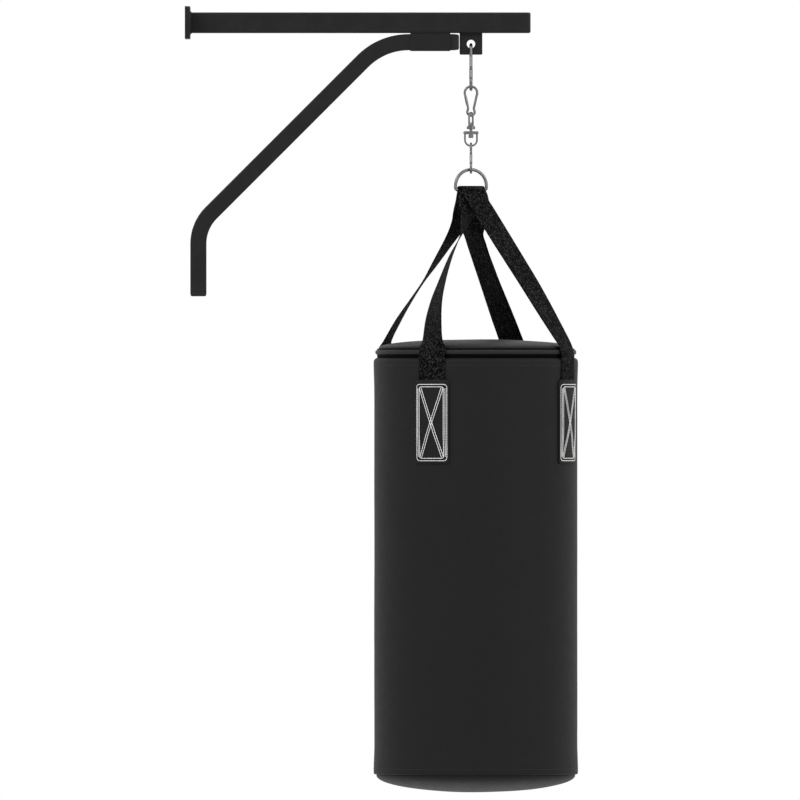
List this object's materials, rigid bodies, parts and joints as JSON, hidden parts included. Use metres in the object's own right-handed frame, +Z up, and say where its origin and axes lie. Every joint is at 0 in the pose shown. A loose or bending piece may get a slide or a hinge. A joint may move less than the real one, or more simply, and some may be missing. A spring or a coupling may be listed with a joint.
{
  "type": "hanging punching bag on a wall bracket",
  "caption": "Cylindrical punching bag hung by crossed webbing straps, a swivel and snap hooks from a wall arm with a bent square-tube brace.",
  "frame": {"origin": "centre of the wall plate's back face, where it meets the wall", "axes": "+X away from the wall along the arm, +Y level along the wall, +Z up"},
  "size_m": [0.609, 0.3168, 1.2181],
  "materials": {
    "powder_coat": "satin",
    "plug_plastic": "satin",
    "hook_steel": "satin",
    "forged_steel": "satin",
    "webbing": "matte",
    "bag_vinyl": "satin",
    "patch_vinyl": "satin",
    "cover_vinyl": "satin",
    "filling": "matte"
  },
  "bodies": {
    "bracket": {"wall_plate": "powder_coat", "arm_tube": "powder_coat", "arm_end_cap": "plug_plastic", "brace_tube": "powder_coat", "brace_sleeve": "powder_coat", "brace_top_plug": "plug_plastic", "brace_foot_plug": "plug_plastic", "hanger_lug": "powder_coat"},
    "upper_link": {"upper_hook": "hook_steel"},
    "upper_gate": {"upper_hook_gate": "hook_steel", "upper_hook_gate_pin": "hook_steel"},
    "middle_link": {"middle_hook": "hook_steel"},
    "middle_gate": {"middle_hook_gate": "hook_steel", "middle_hook_gate_pin": "hook_steel"},
    "eye": {"swivel_eye": "forged_steel", "swivel_rivet": "forged_steel"},
    "yoke": {"swivel_yoke": "forged_steel"},
    "lower_link": {"lower_hook": "hook_steel"},
    "lower_gate": {"lower_hook_gate": "hook_steel", "lower_hook_gate_pin": "hook_steel"},
    "ring": {"d_ring": "hook_steel"},
    "bag": {"inner_strap": "webbing", "outer_strap": "webbing", "patch_front_right": "patch_vinyl", "patch_back_left": "patch_vinyl", "patch_front_left": "patch_vinyl", "patch_back_right": "patch_vinyl", "bag_shell": "bag_vinyl", "bag_filling": "filling", "rim_band": "bag_vinyl", "bag_top": "cover_vinyl", "bag_bottom": "cover_vinyl"}
  },
  "joints": [
    {"name": "upper_hook_swing", "type": "hinge", "parent": "bracket", "child": "upper_link", "pos_m": [0.4431, 0, -0.0329], "axis": [0, -1, 0], "range_deg": [-12, 30]},
    {"name": "middle_hook_swing", "type": "hinge", "parent": "upper_link", "child": "middle_link", "pos_m": [0.4431, 0, -0.091], "axis": [1, 0, 0], "range_deg": [-30, 30]},
    {"name": "swivel_eye_swing", "type": "hinge", "parent": "middle_link", "child": "eye", "pos_m": [0.4431, 0, -0.1382], "axis": [0, 1, 0], "range_deg": [-20, 12]},
    {"name": "swivel_spin", "type": "hinge", "parent": "eye", "child": "yoke", "pos_m": [0.4431, 0, -0.1705], "axis": [0, 0, 1], "continuous": true},
    {"name": "lower_hook_swing", "type": "hinge", "parent": "yoke", "child": "lower_link", "pos_m": [0.4431, 0, -0.18155], "axis": [0, 1, 0], "range_deg": [-20, 12]},
    {"name": "d_ring_swing", "type": "hinge", "parent": "lower_link", "child": "ring", "pos_m": [0.4431, 0, -0.2227], "axis": [-1, 0, 0], "range_deg": [-30, 30]},
    {"name": "bag_swing", "type": "hinge", "parent": "ring", "child": "bag", "pos_m": [0.4431, 0, -0.2591], "axis": [0.9432, 0.3322, 0], "range_deg": [-20, 20]},
    {"name": "upper_gate_hinge", "type": "hinge", "parent": "upper_link", "child": "upper_gate", "pos_m": [0.4431, -0.00963, -0.07104], "axis": [1, 0, 0], "range_deg": [0, 20], "stiffness_Nm_per_rad": 0.01, "springref_deg": -9.74},
    {"name": "middle_gate_hinge", "type": "hinge", "parent": "middle_link", "child": "middle_gate", "pos_m": [0.43773, 0, -0.12827], "axis": [0, 1, 0], "range_deg": [0, 20], "stiffness_Nm_per_rad": 0.01, "springref_deg": -9.74},
    {"name": "lower_gate_hinge", "type": "hinge", "parent": "lower_link", "child": "lower_gate", "pos_m": [0.4431, -0.00537, -0.20283], "axis": [1, 0, 0], "range_deg": [0, 20], "stiffness_Nm_per_rad": 0.01, "springref_deg": -9.74}
  ]
}
